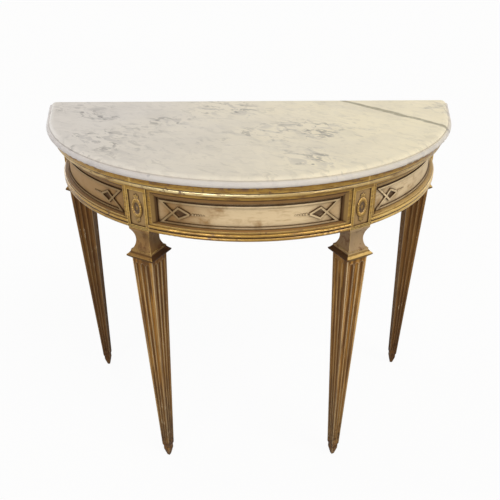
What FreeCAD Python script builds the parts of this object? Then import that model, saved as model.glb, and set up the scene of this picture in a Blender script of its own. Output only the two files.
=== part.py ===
import FreeCAD, Part
import math
import os
import re

import Sketcher

# Demilune table: a marble slab on a curved, carved and gilded stand with four fluted legs.
# Millimetres and degrees. Floor at Z 0, front toward -Y, back edge of the marble toward +Y.
SIZES = {
    "table_height": (847, "floor to the top of the marble"),
    "top_thick": (20, "marble slab"),
    "top_radius": (508, "arc of the marble, out to the bullnose"),
    "back_run": (25, "back edge of the marble behind the centre of its arc"),
    "end_angle": (77, "angle from the front centre line at which the marble's arc runs on straight"),
    "lip_height": (7, "upper lip of the moulded marble edge"),
    "lip_set": (8, "lip inside the bullnose"),
    "lip_run": (12, "rounded top edge of the lip, across"),
    "lip_drop": (5, "rounded top edge of the lip, downward"),
    "fit_gap": (0.15, "clearance round tenons and behind curved mouldings"),
    "apron_height": (127, "underside of the corner blocks to the underside of the marble"),
    "field_set": (40, "painted field of the apron inside the marble edge"),
    "rail_thick": (24, "curved rails, measured along the radius"),
    "rail_lift": (3, "underside of the rails above the underside of the blocks"),
    "tenon_length": (20, "rail tenons, shoulder to end"),
    "tenon_thick": (10, "rail tenons"),
    "tenon_rise": (48, "underside of the blocks to the lower edge of the tenons"),
    "tenon_drop": (13, "underside of the marble to the upper edge of the tenons"),
    "peg_radius": (3, "pegs through the tenons"),
    "peg_length": (35, "pegs through the tenons"),
    "peg_margin": (18, "peg centre to the tenon edge"),
    "leg_angle": (29.1, "front legs, angle from the front centre line"),
    "leg_set": (53, "front leg axis inside the marble edge"),
    "back_leg_set": (48, "back leg axis inside the end of the marble"),
    "back_leg_forward": (20, "back leg axis in front of the centre of the arc"),
    "block_side": (54, "square corner blocks"),
    "sunk_width": (40, "sunk panel in the face of a block"),
    "sunk_rise": (7.5, "underside of a block to its sunk panel"),
    "sunk_drop": (12.8, "underside of the cornice to the sunk panel"),
    "sunk_depth": (3, "sunk panel in the face of a block"),
    "line_width": (1.3, "two lines cut across a block below its sunk panel"),
    "line_depth": (1.2, "depth of the two cut lines"),
    "line_rise": (1.9, "underside of the block to the first cut line"),
    "line_pitch": (3.2, "spacing of the two cut lines"),
    "cornice_depth": (27, "cornice beyond the painted field"),
    "fillet_height": (15.2, "flat upper part of the cornice"),
    "fillet_round": (1.5, "eased lower arris of the flat part"),
    "astragal": (5.5, "radius of the bead under the cornice"),
    "astragal_set": (20, "centre of that bead beyond the painted field"),
    "cove_depth": (20, "cove at the top of a panel frame, beyond the field"),
    "cove_height": (9.5, "cove at the top of a panel frame"),
    "frame_depth": (12, "flat of a panel frame beyond the field"),
    "frame_edge": (4, "inner edge of a panel frame beyond the field"),
    "bevel_height": (12, "bevel at the top of a panel frame"),
    "ledge_height": (4, "ledge at the foot of a panel frame, at its outside"),
    "ledge_rise": (6, "ledge at the foot of a panel frame, at its inner edge"),
    "stile_flat": (8, "flat of the end stiles of a panel frame"),
    "stile_bevel": (9, "bevel of the end stiles of a panel frame"),
    "base_depth": (16, "base moulding beyond the painted field"),
    "base_low": (4.3, "radius of the lower round of the base moulding"),
    "base_high": (3.6, "radius of the upper round of the base moulding"),
    "base_quirk": (0.7, "flat between the two rounds"),
    "fret_depth": (3.4, "raised fret beyond the painted field"),
    "fret_width": (4, "width of the fret"),
    "fret_rise": (0.5, "ledge of the panel frame to the lower fret bar"),
    "fret_drop": (5.3, "bevel of the panel frame to the upper fret bar"),
    "fret_end": (9, "panel end to the fold of the fret"),
    "arm_run": (39, "fold of the fret to the widest part of the lozenge"),
    "lozenge_share": (0.51, "height of the lozenge as a share of the space between the bars"),
    "tip_run": (24, "widest part of the lozenge to its tip"),
    "drop_radius": (2.7, "largest bead beyond the tip of a lozenge"),
    "drop_fall": (0.25, "each further bead is smaller by this radius"),
    "drop_pitch": (5.7, "spacing of the beads"),
    "drop_count": (5, "beads at each end of a panel"),
    "patera_half": (13, "half the width of the oval patera"),
    "patera_share": (0.297, "half the height of the patera as a share of its sunk panel"),
    "patera_depth": (4, "height of the patera above the sunk panel"),
    "patera_rim": (3.2, "rim of the patera"),
    "boss_half": (4.6, "half the width of the boss in the patera"),
    "leaf_length": (7, "half the length of a leaf above or below the patera"),
    "leaf_half": (2.6, "half the width of a leaf"),
    "leaf_depth": (2.8, "height of a leaf above the sunk panel"),
    "leaf_spread": (4.9, "outer leaves to the side of the middle one"),
    "leaf_drop": (1.6, "outer leaves nearer to the oval than the middle one"),
    "leaf_fan": (48, "tilt of the outer leaves"),
    "neck_height": (55, "neck of a leg with the square band at its top"),
    "neck_band": (5, "square band at the top of the neck"),
    "neck_waist": (32, "top of the neck to its narrowest part"),
    "neck_top": (53, "side of the neck at its top"),
    "neck_side": (35.6, "side of the neck where narrowest"),
    "neck_flare": (50, "side of the neck at its foot"),
    "step_side": (54.6, "side of the square step under the neck"),
    "step_height": (3, "step under the neck"),
    "collar_side": (70, "side of the collar at its arris"),
    "collar_sweep": (8.5, "height of the hollow of the collar"),
    "collar_hollow": (24, "radius of the hollow of the collar"),
    "collar_arris": (3, "height of the upright edge of the collar"),
    "undercut": (8, "height of the sloping underside of the collar"),
    "shaft_side": (53, "side of the tapered shaft at its top"),
    "ankle_side": (21.4, "side of the tapered shaft at its foot"),
    "foot_height": (42, "floor to the foot of the shaft"),
    "foot_cut": (6, "height of the slope in to the foot"),
    "foot_side": (17.6, "side of the foot"),
    "toe_height": (24, "height of the pointed toe"),
    "toe_side": (7, "side of the toe on the floor"),
    "flute_pitch": (0.265, "flute spacing as a share of the shaft side"),
    "flute_radius": (0.105, "flute radius as a share of the shaft side"),
    "flute_out": (0.03, "flute centre outside the face as a share of the shaft side"),
    "flute_top_gap": (14, "collar to the top of the flutes"),
    "flute_end_gap": (14, "foot to the lower end of the flutes"),
    "pin_radius": (11, "round pin on top of a leg"),
    "pin_length": (42, "round pin on top of a leg"),
    "back_rail_thick": (22, "straight back rail"),
    "back_rail_in": (3, "back rail in front of the back of the blocks"),
    "bearer_width": (50, "bearer under the middle of the marble"),
    "bearer_thick": (22, "bearer under the middle of the marble"),
    "bearer_housing": (10, "bearer ends let into the rails"),
    "glue_run": (30, "glue blocks, along the rail"),
    "glue_depth": (21, "glue blocks of the back, across the rail"),
    "glue_over": (2, "glue blocks beyond the tenons, above and below"),
}

doc = FreeCAD.newDocument("demilune_table")
sheet = doc.addObject("Spreadsheet::Sheet", "sizes")
for row, (alias, (size, meaning)) in enumerate(SIZES.items(), 1):
    sheet.set(f"A{row}", meaning)
    sheet.set(f"B{row}", str(size))
    sheet.setAlias(f"B{row}", alias)
doc.recompute()

FRAME_TOP = "(table_height - top_thick)"
APRON_LOW = "(table_height - top_thick - apron_height)"
CORNICE_LOW = f"({FRAME_TOP} - fillet_height - 2 * astragal)"
BASE_TOP = f"({APRON_LOW} + 2 * base_low + base_quirk + 2 * base_high)"
PANEL_LOW = f"({BASE_TOP} + ledge_rise)"
PANEL_HIGH = f"({CORNICE_LOW} - cove_height - bevel_height)"
FRET_HALF = f"(({PANEL_HIGH} - {PANEL_LOW} - fret_rise - fret_drop - fret_width) / 2)"
PANEL_MIDDLE = f"({PANEL_LOW} + fret_rise + fret_width / 2 + {FRET_HALF})"
SUNK_HEIGHT = f"({CORNICE_LOW} - {APRON_LOW} - sunk_rise - sunk_drop)"
SUNK_MIDDLE = f"({APRON_LOW} + sunk_rise + {SUNK_HEIGHT} / 2)"
PATERA_RISE = f"(patera_share * {SUNK_HEIGHT})"
FIELD = "(top_radius - field_set)"
SEAT = f"({FIELD} + fit_gap)"
FRET_FACE = f"({FIELD} + fret_depth)"
RAIL_INSIDE = f"({FIELD} - rail_thick)"
RAIL_MIDDLE = f"({FIELD} - rail_thick / 2)"
TENON_HEIGHT = "(apron_height - tenon_rise - tenon_drop)"
TENON_MIDDLE = f"({APRON_LOW} + tenon_rise + {TENON_HEIGHT} / 2)"
RAIL_HEIGHT = "(apron_height - rail_lift)"
HALF = "(block_side / 2)"
LEG_RADIUS = "(top_radius - leg_set)"
BACK_LEG = "(top_radius - back_leg_set)"
BACK_SIDE = f"(back_leg_forward + {HALF})"
BACK_RAIL_Y = f"({HALF} - back_leg_forward - back_rail_in - back_rail_thick / 2)"
BACK_RAIL_FRONT = f"({BACK_RAIL_Y} - back_rail_thick / 2)"
ARC_CENTRE_Y = "((top_radius - back_run) / 2)"
END_X = "(top_radius * sin(end_angle))"
END_Y = "(-top_radius * cos(end_angle))"
BACK_X = f"({END_X} + (back_run - {END_Y}) / tan(end_angle))"
END_RUN = f"((back_run - {END_Y}) / sin(end_angle))"
LIP_ARC = "((lip_run * lip_run + lip_drop * lip_drop) / (2 * lip_drop))"
SHAFT_TOP = f"({APRON_LOW} - neck_height - step_height - collar_sweep - collar_arris - undercut)"
TAPER = f"((shaft_side - ankle_side) / ({SHAFT_TOP} - foot_height))"
FLUTE_LEVELS = ("(foot_height + flute_end_gap)", f"({SHAFT_TOP} - flute_top_gap)")
FLUTE_SIDES = (f"(ankle_side + {TAPER} * flute_end_gap)", f"(shaft_side - {TAPER} * flute_top_gap)")

# A bay of the apron lies between two blocks: angle and side face of the block at each end.
BAYS = {
    "left": ("(-90)", BACK_SIDE, "(-leg_angle)", f"(-{HALF})"),
    "front": ("(-leg_angle)", HALF, "leg_angle", f"(-{HALF})"),
    "right": ("leg_angle", HALF, "90", f"(-{BACK_SIDE})"),
}
BACK_ANGLES = ("(-90)", "90")
SIDES = {"left": "-1", "right": "1"}


def bound(text):
    """Return an expression with each size name pointed at the sheet."""
    def point(match):
        word = match.group()
        return "sizes." + word if word in SIZES else word
    return re.sub(r"[a-z][a-z_0-9]*", point, str(text))


def value(text):
    """Return the present number of an expression."""
    result = sheet.evalExpression(bound(text))
    return float(getattr(result, "Value", result))


def turned(radial, tangential, angle, side="1"):
    """Return plan coordinates of a point given along and across a radius of the apron."""
    x = f"{side} * (({radial}) * sin({angle}) + ({tangential}) * cos({angle}))"
    y = f"-({radial}) * cos({angle}) + ({tangential}) * sin({angle})"
    return x, y


def on_arc(radius, tangential):
    """Return the distance along a radius at which an arc crosses a plane beside that radius."""
    return f"sqrt(({radius})^2 - ({tangential})^2)"


def plan_box(radial, tangential, angle, side="1"):
    """Return the four plan corners of a rectangle set square to a radius."""
    corners = [(0, 0), (1, 0), (1, 1), (0, 1)]
    return [turned(radial[i], tangential[j], angle, side) for i, j in corners]


def rectangle(half, low, high):
    """Return the four corners of a rectangle that lies evenly about the middle."""
    return [(f"-{half}", low), (half, low), (half, high), (f"-{half}", high)]


def new_body(label, settled=True):
    """Start a body; a settled one is drawn about the centre of the arc and moved to its place."""
    body = doc.addObject("PartDesign::Body", label)
    body.Label = label
    if settled:
        body.setExpression("Placement.Base.y", bound(ARC_CENTRE_Y))
    return body


def origin_part(body, role):
    return next(part for part in body.Origin.OriginFeatures if part.Role == role)


def edge_between(start, end, radius, turn):
    """Return a line, or an arc whose centre lies left (1) or right (-1) of the way to its end."""
    if radius is None:
        return Part.LineSegment(start, end)
    chord = end - start
    rise = math.sqrt(max(radius ** 2 - (chord.Length / 2) ** 2, 0))
    left = FreeCAD.Vector(-chord.y, chord.x, 0).normalize()
    centre = (start + end) * 0.5 + left * rise * turn
    first, last = (start, end) if turn > 0 else (end, start)
    angles = [math.atan2(spot.y - centre.y, spot.x - centre.x) for spot in (first, last)]
    circle = Part.Circle(centre, FreeCAD.Vector(0, 0, 1), radius)
    return Part.ArcOfCircle(circle, angles[0], angles[1])


def pin_point(sketch, geometry, end, corner, spot):
    """Fix one sketch point by the two expressions of its corner."""
    ways = (("DistanceX", corner[0], spot.x, -2), ("DistanceY", corner[1], spot.y, -1))
    for kind, text, size, axis in ways:
        if abs(size) < 1e-7:
            sketch.addConstraint(Sketcher.Constraint("PointOnObject", geometry, end, axis))
            continue
        index = sketch.addConstraint(Sketcher.Constraint(kind, -1, 1, geometry, end, size))
        sketch.setExpression(f"Constraints[{index}]", bound(text))


def add_loop(sketch, corners):
    """Draw a closed outline; a corner with a radius and a turn begins an arc."""
    spots = [FreeCAD.Vector(value(corner[0]), value(corner[1]), 0) for corner in corners]
    heads = []
    tails = []
    for index, corner in enumerate(corners):
        curved = len(corner) == 4
        radius = value(corner[2]) if curved else None
        turn = corner[3] if curved else 0
        edge = edge_between(spots[index], spots[(index + 1) % len(spots)], radius, turn)
        geometry = sketch.addGeometry(edge, False)
        backward = turn < 0
        heads.append((geometry, 2 if backward else 1))
        tails.append((geometry, 1 if backward else 2))
        if curved:
            number = sketch.addConstraint(Sketcher.Constraint("Radius", geometry, radius))
            sketch.setExpression(f"Constraints[{number}]", bound(corner[2]))
    for index, corner in enumerate(corners):
        following = heads[(index + 1) % len(corners)]
        sketch.addConstraint(Sketcher.Constraint("Coincident", *tails[index], *following))
        pin_point(sketch, *heads[index], corner, spots[index])


def new_sketch(body, name, plane, loops, lift=None):
    """Draw closed outlines on an origin plane of a body, lifted along the plane's normal."""
    sketch = body.newObject("Sketcher::SketchObject", name)
    sketch.AttachmentSupport = [(origin_part(body, plane), "")]
    sketch.MapMode = "FlatFace"
    if lift is not None:
        sketch.setExpression("AttachmentOffset.Base.z", bound(lift))
    for corners in loops:
        add_loop(sketch, corners)
    return sketch


def turn_sketch(sketch, angle):
    """Swing an upright sketch about the centre line of the arc."""
    axis = FreeCAD.Vector(0, 1, 0)
    sketch.AttachmentOffset = FreeCAD.Placement(FreeCAD.Vector(), FreeCAD.Rotation(axis, 1))
    sketch.setExpression("AttachmentOffset.Rotation.Angle", bound(angle))


def grow(body, kind, name, sketch, length, symmetric=True):
    """Pad or pocket a sketch, to both sides of its plane unless told otherwise."""
    feature = body.newObject(f"PartDesign::{kind}", name)
    feature.Profile = sketch
    feature.setExpression("Length", bound(length))
    feature.SideType = "Symmetric" if symmetric else "One side"
    return feature


def plan_feature(body, kind, name, corners, middle, height):
    """Pad or pocket a plan outline over a height about a level."""
    sketch = new_sketch(body, name + "_plan", "XY_Plane", [corners], middle)
    return grow(body, kind, name, sketch, height)


def revolve(body, kind, name, sketch, sweep="360"):
    """Turn a section about the upright axis of its sketch, to both sides of its plane."""
    feature = body.newObject(f"PartDesign::{kind}", name)
    feature.Profile = sketch
    feature.ReferenceAxis = (sketch, ["V_Axis"])
    feature.Midplane = True
    feature.setExpression("Angle", bound(sweep))


def swing(body, kind, name, corners, angle, sweep):
    """Turn a section about the centre line of the arc, to both sides of an angle."""
    sketch = new_sketch(body, name + "_section", "XZ_Plane", [corners])
    turn_sketch(sketch, f"({angle}) - 90 deg")
    revolve(body, kind, name, sketch, sweep)


def ring_cut(body, name, inner, outer, low, high):
    """Remove everything between two radii and two levels."""
    corners = [(inner, low), (outer, low), (outer, high), (inner, high)]
    swing(body, "Groove", name, corners, "0 deg", "360")


def upright_to(direction):
    """Return the rotation that lays an upright shape along a direction."""
    return FreeCAD.Rotation(FreeCAD.Vector(0, 0, 1), direction)


def bore(body, name, start, direction, radius, length):
    """Drill a round hole from a point along a direction."""
    hole = body.newObject("PartDesign::SubtractiveCylinder", name)
    hole.setExpression("Radius", bound(radius))
    hole.setExpression("Height", bound(length))
    hole.Placement = FreeCAD.Placement(start, upright_to(direction))


def bay_middle(bay):
    return f"(({bay[0]}) * 1 deg + ({bay[2]}) * 1 deg) / 2"


def bay_sweep(bay):
    return f"({bay[2]}) * 1 deg - ({bay[0]}) * 1 deg"


def trim_to_bay(body, bay):
    """Cut a curved member off square against the side faces of its two blocks."""
    reach = (f"{FIELD} - block_side", f"{FIELD} + block_side")
    ends = (("near", bay[0], (f"-{HALF}", bay[1])), ("far", bay[2], (bay[3], HALF)))
    for end, angle, width in ends:
        corners = plan_box(reach, width, angle)
        plan_feature(body, "Pocket", end + "_end", corners, PANEL_MIDDLE, "4 * apron_height")


def marble_top():
    """Slab with an arc in front, straight ends that run on from it, and a back sawn straight."""
    body = new_body("marble_top")
    outline = [
        (f"-{END_X}", END_Y, "top_radius", 1),
        ("0", "-top_radius", "top_radius", 1),
        (END_X, END_Y),
        (BACK_X, "back_run"),
        (f"-{BACK_X}", "back_run"),
    ]
    sketch = new_sketch(body, "slab_plan", "XY_Plane", [outline], FRAME_TOP)
    grow(body, "Pad", "slab", sketch, "top_thick", symmetric=False)
    swing(body, "Groove", "front_edge", slab_edge(), "0 deg", "2 * end_angle * 1 deg")
    for side, sign in SIDES.items():
        end_edge(body, side, sign)
    return body


def slab_edge():
    """Return what is cut away outside the moulded edge of the marble: a rounded lip over a bullnose."""
    lip = "(top_radius - lip_set)"
    nose = "((top_thick - lip_height) / 2)"
    beyond = "(top_radius + top_thick)"
    return [
        (f"{lip} - lip_run", "table_height", LIP_ARC, -1),
        (lip, "table_height - lip_drop"),
        (lip, "table_height - lip_height"),
        (f"top_radius - {nose}", "table_height - lip_height", nose, -1),
        ("top_radius", f"{FRAME_TOP} + {nose}", nose, -1),
        (f"top_radius - {nose}", FRAME_TOP),
        (beyond, FRAME_TOP),
        (beyond, "table_height"),
    ]


def end_edge(body, side, sign):
    """Run the moulded edge on along a straight end of the marble and out past its back."""
    section = new_sketch(body, f"{side}_end_section", "XZ_Plane", [slab_edge()])
    turn_sketch(section, f"{sign} * end_angle * 1 deg - 90 deg")
    run = grow(body, "Pocket", f"{side}_end", section, f"{END_RUN} + top_thick", symmetric=False)
    run.Reversed = side == "left"


def tenon(body, name, angle, shoulder, into):
    """Add a tenon that runs from a rail shoulder into the block."""
    thick = (f"{RAIL_MIDDLE} - tenon_thick / 2", f"{RAIL_MIDDLE} + tenon_thick / 2")
    run = (f"{shoulder} - {into} * tenon_thick / 2", f"{shoulder} + {into} * tenon_length")
    plan_feature(body, "Pad", name, plan_box(thick, run, angle), TENON_MIDDLE, TENON_HEIGHT)


def peg_levels():
    half = value(f"{TENON_HEIGHT} / 2 - peg_margin")
    return [value(TENON_MIDDLE) - half, value(TENON_MIDDLE) + half]


def rail_pegs(bay):
    """Return start points and directions of the pegs through the tenons of a curved rail."""
    pegs = []
    for angle, shoulder, into in ((bay[0], bay[1], -1), (bay[2], bay[3], 1)):
        depth = f"{shoulder} + {into} * tenon_length / 2"
        radius = BACK_LEG if angle in BACK_ANGLES else LEG_RADIUS
        x, y = turned(f"{radius} - {HALF}", depth, angle)
        turn = math.radians(value(angle))
        outward = FreeCAD.Vector(math.sin(turn), -math.cos(turn), 0)
        for level in peg_levels():
            pegs.append((FreeCAD.Vector(value(x), value(y), level), outward))
    return pegs


def back_rail_pegs():
    """Return start points and directions of the pegs through the tenons of the back rail."""
    reach = value(f"{BACK_LEG} - {HALF} + tenon_length / 2")
    back = value(f"{HALF} - back_leg_forward")
    inward = FreeCAD.Vector(0, -1, 0)
    spots = [(side * reach, level) for side in (-1, 1) for level in peg_levels()]
    return [(FreeCAD.Vector(x, back, level), inward) for x, level in spots]


def drill_pegs(body, pegs):
    radius = "peg_radius + fit_gap"
    depth = "peg_length + fit_gap"
    for index, (start, direction) in enumerate(pegs):
        bore(body, f"peg_hole_{index}", start, direction, radius, depth)


def curved_rail(name):
    bay = BAYS[name]
    body = new_body(f"rail_{name}")
    inner = RAIL_INSIDE
    outline = [
        (*turned(on_arc(FIELD, bay[1]), bay[1], bay[0]), FIELD, 1),
        turned(on_arc(FIELD, bay[3]), bay[3], bay[2]),
        (*turned(on_arc(inner, bay[3]), bay[3], bay[2]), inner, -1),
        turned(on_arc(inner, bay[1]), bay[1], bay[0]),
    ]
    sketch = new_sketch(body, "rail_plan", "XY_Plane", [outline], f"{APRON_LOW} + rail_lift")
    grow(body, "Pad", "rail", sketch, RAIL_HEIGHT, symmetric=False)
    tenon(body, "near_tenon", bay[0], bay[1], -1)
    tenon(body, "far_tenon", bay[2], bay[3], 1)
    drill_pegs(body, rail_pegs(bay))
    if name == "front":
        end = f"-({RAIL_INSIDE} + bearer_housing + fit_gap)"
        bearer_housing(body, end, f"-({RAIL_INSIDE} - rail_thick)")
    return body


def bearer_housing(body, front, back):
    """Cut the open-topped housing for one end of the bearer."""
    corners = rectangle("(bearer_width / 2 + fit_gap)", front, back)
    plan_feature(body, "Pocket", "bearer_housing", corners, FRAME_TOP, "2 * bearer_thick")


def back_rail():
    body = new_body("rail_back")
    shoulder = f"({BACK_LEG} - {HALF})"
    end = f"({shoulder} + tenon_length)"
    rail_middle = f"{FRAME_TOP} - {RAIL_HEIGHT} / 2"
    shapes = (
        ("rail", shoulder, "back_rail_thick", rail_middle, RAIL_HEIGHT),
        ("tenons", end, "tenon_thick", TENON_MIDDLE, TENON_HEIGHT),
    )
    for name, reach, thick, middle, height in shapes:
        corners = rectangle(reach, f"{BACK_RAIL_Y} - {thick} / 2", f"{BACK_RAIL_Y} + {thick} / 2")
        plan_feature(body, "Pad", name, corners, middle, height)
    drill_pegs(body, back_rail_pegs())
    bearer_end = f"{BACK_RAIL_FRONT} + bearer_housing + fit_gap"
    bearer_housing(body, f"{BACK_RAIL_FRONT} - bearer_width", bearer_end)
    return body


def bearer():
    body = new_body("bearer")
    front = f"-({RAIL_INSIDE} + bearer_housing)"
    corners = rectangle("(bearer_width / 2)", front, f"{BACK_RAIL_FRONT} + bearer_housing")
    plan_feature(body, "Pad", "bar", corners, f"{FRAME_TOP} - bearer_thick / 2", "bearer_thick")
    return body


def cut_block(body, name, radial, tangential, frame, middle, height):
    plan_feature(body, "Pocket", name, plan_box(radial, tangential, *frame), middle, height)


def corner_block(label, frame, radius, middle, reach):
    """Square block with its cornice rebate, sunk panel, cut lines and hole for the leg pin."""
    body = new_body(label)
    face = f"({radius} + {HALF})"
    beyond = f"({face} + sunk_depth)"
    across = (f"{middle} - {HALF}", f"{middle} + {HALF}")
    square = plan_box((f"{radius} - {HALF}", face), across, *frame)
    sketch = new_sketch(body, "block_plan", "XY_Plane", [square], APRON_LOW)
    grow(body, "Pad", "block", sketch, "apron_height", symmetric=False)
    wide = (f"{across[0]} - sunk_depth", f"{across[1]} + sunk_depth")
    rebate = (f"{on_arc(FIELD, reach)} - fit_gap", beyond)
    rebate_height = f"2 * ({FRAME_TOP} - {CORNICE_LOW})"
    cut_block(body, "cornice_rebate", rebate, wide, frame, FRAME_TOP, rebate_height)
    panel = (f"{middle} - sunk_width / 2", f"{middle} + sunk_width / 2")
    sunk = (f"{face} - sunk_depth", beyond)
    cut_block(body, "sunk_panel", sunk, panel, frame, SUNK_MIDDLE, SUNK_HEIGHT)
    for index in range(2):
        level = f"{APRON_LOW} + line_rise + {index} * line_pitch"
        line = (f"{face} - line_depth", beyond)
        cut_block(body, f"line_{index}", line, wide, frame, level, "line_width")
    pin_hole(body, turned(radius, middle, *frame))
    return body


def pin_hole(body, spot):
    """Bore the hole for the pin of a leg up into a block."""
    hole = new_sketch(body, "pin_hole_plan", "XY_Plane", [], APRON_LOW)
    centre = FreeCAD.Vector(value(spot[0]), value(spot[1]), 0)
    radius = "pin_radius + fit_gap"
    round_edge = Part.Circle(centre, FreeCAD.Vector(0, 0, 1), value(radius))
    circle = hole.addGeometry(round_edge, False)
    pin_point(hole, circle, 3, spot, centre)
    index = hole.addConstraint(Sketcher.Constraint("Radius", circle, value(radius)))
    hole.setExpression(f"Constraints[{index}]", bound(radius))
    grow(body, "Pocket", "pin_hole", hole, "2 * (pin_length + fit_gap)")


def mortise(body, name, radial, tangential, frame):
    cut_block(body, name, radial, tangential, frame, TENON_MIDDLE, f"{TENON_HEIGHT} + 2 * fit_gap")


def mortise_width(middle):
    return (f"{middle} - tenon_thick / 2 - fit_gap", f"{middle} + tenon_thick / 2 + fit_gap")


def front_block(side):
    frame = ("leg_angle", SIDES[side])
    body = corner_block(f"block_front_{side}", frame, LEG_RADIUS, "0", HALF)
    depth = f"({HALF} - tenon_length - fit_gap)"
    outside = f"({HALF} + sunk_depth)"
    mortise(body, "side_mortise", mortise_width(RAIL_MIDDLE), (depth, outside), frame)
    mortise(body, "front_mortise", mortise_width(RAIL_MIDDLE), (f"-{outside}", f"-{depth}"), frame)
    pegs = rail_pegs(BAYS["front"])
    other = rail_pegs(BAYS[side])
    mine = (pegs[2:] + other[:2]) if side == "right" else (pegs[:2] + other[2:])
    drill_pegs(body, mine)
    return body


def back_block(side):
    frame = ("90", SIDES[side])
    body = corner_block(f"block_back_{side}", frame, BACK_LEG, "(-back_leg_forward)", BACK_SIDE)
    front = f"(-{BACK_SIDE})"
    mortise(
        body, "side_mortise", mortise_width(RAIL_MIDDLE),
        (f"{front} - sunk_depth", f"{front} + tenon_length + fit_gap"), frame,
    )
    inner = f"({BACK_LEG} - {HALF})"
    mortise(
        body, "back_mortise", (f"{inner} - sunk_depth", f"{inner} + tenon_length + fit_gap"),
        mortise_width(BACK_RAIL_Y), frame,
    )
    rail = rail_pegs(BAYS[side])
    back = back_rail_pegs()
    drill_pegs(body, (rail[2:] + back[2:]) if side == "right" else (rail[:2] + back[:2]))
    return body


def cornice(name):
    """Top moulding: a flat fillet over a bead, in three lengths that meet above the front legs."""
    body = new_body(f"cornice_{name}")
    outer = f"({FIELD} + cornice_depth)"
    bead = f"({FIELD} + astragal_set)"
    fillet_low = f"({FRAME_TOP} - fillet_height)"
    section = [
        (SEAT, FRAME_TOP),
        (outer, FRAME_TOP),
        (outer, f"{fillet_low} + fillet_round", "fillet_round", -1),
        (f"{outer} - fillet_round", fillet_low),
        (bead, fillet_low, "astragal", -1),
        (f"{bead} + astragal", f"{fillet_low} - astragal", "astragal", -1),
        (bead, CORNICE_LOW),
        (SEAT, CORNICE_LOW),
    ]
    seam = f"fit_gap / {outer} * 1 rad"
    end = f"90 deg + asin(({HALF} - back_leg_forward) / {FIELD})"
    if name == "front":
        swing(body, "Revolution", "moulding", section, "0 deg", f"2 * leg_angle * 1 deg - {seam}")
    else:
        middle = f"{SIDES[name]} * ({end} + leg_angle * 1 deg + {seam} / 2) / 2"
        swing(body, "Revolution", "moulding", section, middle, f"{end} - leg_angle * 1 deg - {seam} / 2")
    return body


def base_moulding(name):
    """Lower moulding of a bay: two rounds with a quirk between them."""
    bay = BAYS[name]
    body = new_body(f"base_moulding_{name}")
    outer = f"({FIELD} + base_depth)"
    low_middle = f"({APRON_LOW} + base_low)"
    low_top = f"({APRON_LOW} + 2 * base_low)"
    high_low = f"({low_top} + base_quirk)"
    section = [
        (SEAT, APRON_LOW),
        (f"{outer} - base_low", APRON_LOW, "base_low", 1),
        (outer, low_middle, "base_low", 1),
        (f"{outer} - base_low", low_top),
        (f"{outer} - base_high", high_low, "base_high", 1),
        (outer, f"{high_low} + base_high", "base_high", 1),
        (f"{outer} - base_high", BASE_TOP),
        (SEAT, BASE_TOP),
    ]
    swing(body, "Revolution", "moulding", section, bay_middle(bay), bay_sweep(bay))
    trim_to_bay(body, bay)
    return body


def panel_frame(name):
    """Frame of a bay: cove and bevel above, ledge below, bevelled stiles at both ends."""
    bay = BAYS[name]
    body = new_body(f"panel_frame_{name}")
    cove = f"({FIELD} + cove_depth)"
    flat = f"({FIELD} + frame_depth)"
    edge = f"({FIELD} + frame_edge)"
    cove_low = f"({CORNICE_LOW} - cove_height)"
    head = [
        (SEAT, CORNICE_LOW),
        (cove, CORNICE_LOW, "cove_height", 1),
        (flat, cove_low),
        (edge, f"{cove_low} - bevel_height"),
        (SEAT, f"{cove_low} - bevel_height"),
    ]
    foot = [
        (SEAT, BASE_TOP),
        (flat, BASE_TOP),
        (flat, f"{BASE_TOP} + ledge_height"),
        (edge, f"{BASE_TOP} + ledge_rise"),
        (SEAT, f"{BASE_TOP} + ledge_rise"),
    ]
    swing(body, "Revolution", "head", head, bay_middle(bay), bay_sweep(bay))
    swing(body, "Revolution", "ledge", foot, bay_middle(bay), bay_sweep(bay))
    height = f"({cove_low} - {BASE_TOP})"
    for end, angle, shoulder, way in (("near", bay[0], bay[1], 1), ("far", bay[2], bay[3], -1)):
        arris = f"({shoulder} + {way} * stile_flat)"
        inner = f"({shoulder} + {way} * (stile_flat + stile_bevel))"
        stile = [
            turned(on_arc(SEAT, shoulder), shoulder, angle),
            turned(on_arc(flat, shoulder), shoulder, angle),
            turned(on_arc(flat, arris), arris, angle),
            turned(on_arc(edge, inner), inner, angle),
            (*turned(on_arc(SEAT, inner), inner, angle), SEAT, -way),
        ]
        plan_feature(body, "Pad", end + "_stile", stile, f"{BASE_TOP} + {height} / 2", height)
    trim_to_bay(body, bay)
    return body


def fret_fold(bay, end):
    """Return the angle at which the fret of a bay folds back, at one end."""
    angle, shoulder, way = (bay[0], bay[1], 1) if end == "near" else (bay[2], bay[3], -1)
    reach = f"(({shoulder}) + {way} * (stile_flat + stile_bevel + fret_end))"
    return f"(({angle}) * 1 deg + asin({reach} / {FRET_FACE}))"


def stroke(path, width):
    """Return the outline of a bar of one width that follows a bent path, mitred at the bends."""
    ways = [(second - first).normalize() for first, second in zip(path, path[1:])]
    normals = [FreeCAD.Vector(-way.y, way.x, 0) for way in ways]
    shifts = [normals[0]]
    for before, after in zip(normals, normals[1:]):
        joint = before + after
        shifts.append(joint * (2 / joint.Length ** 2))
    shifts.append(normals[-1])
    left = [spot + shift * (width / 2) for spot, shift in zip(path, shifts)]
    right = [spot - shift * (width / 2) for spot, shift in zip(path, shifts)]
    return [(str(spot.x), str(spot.y)) for spot in left + right[::-1]]


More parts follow.
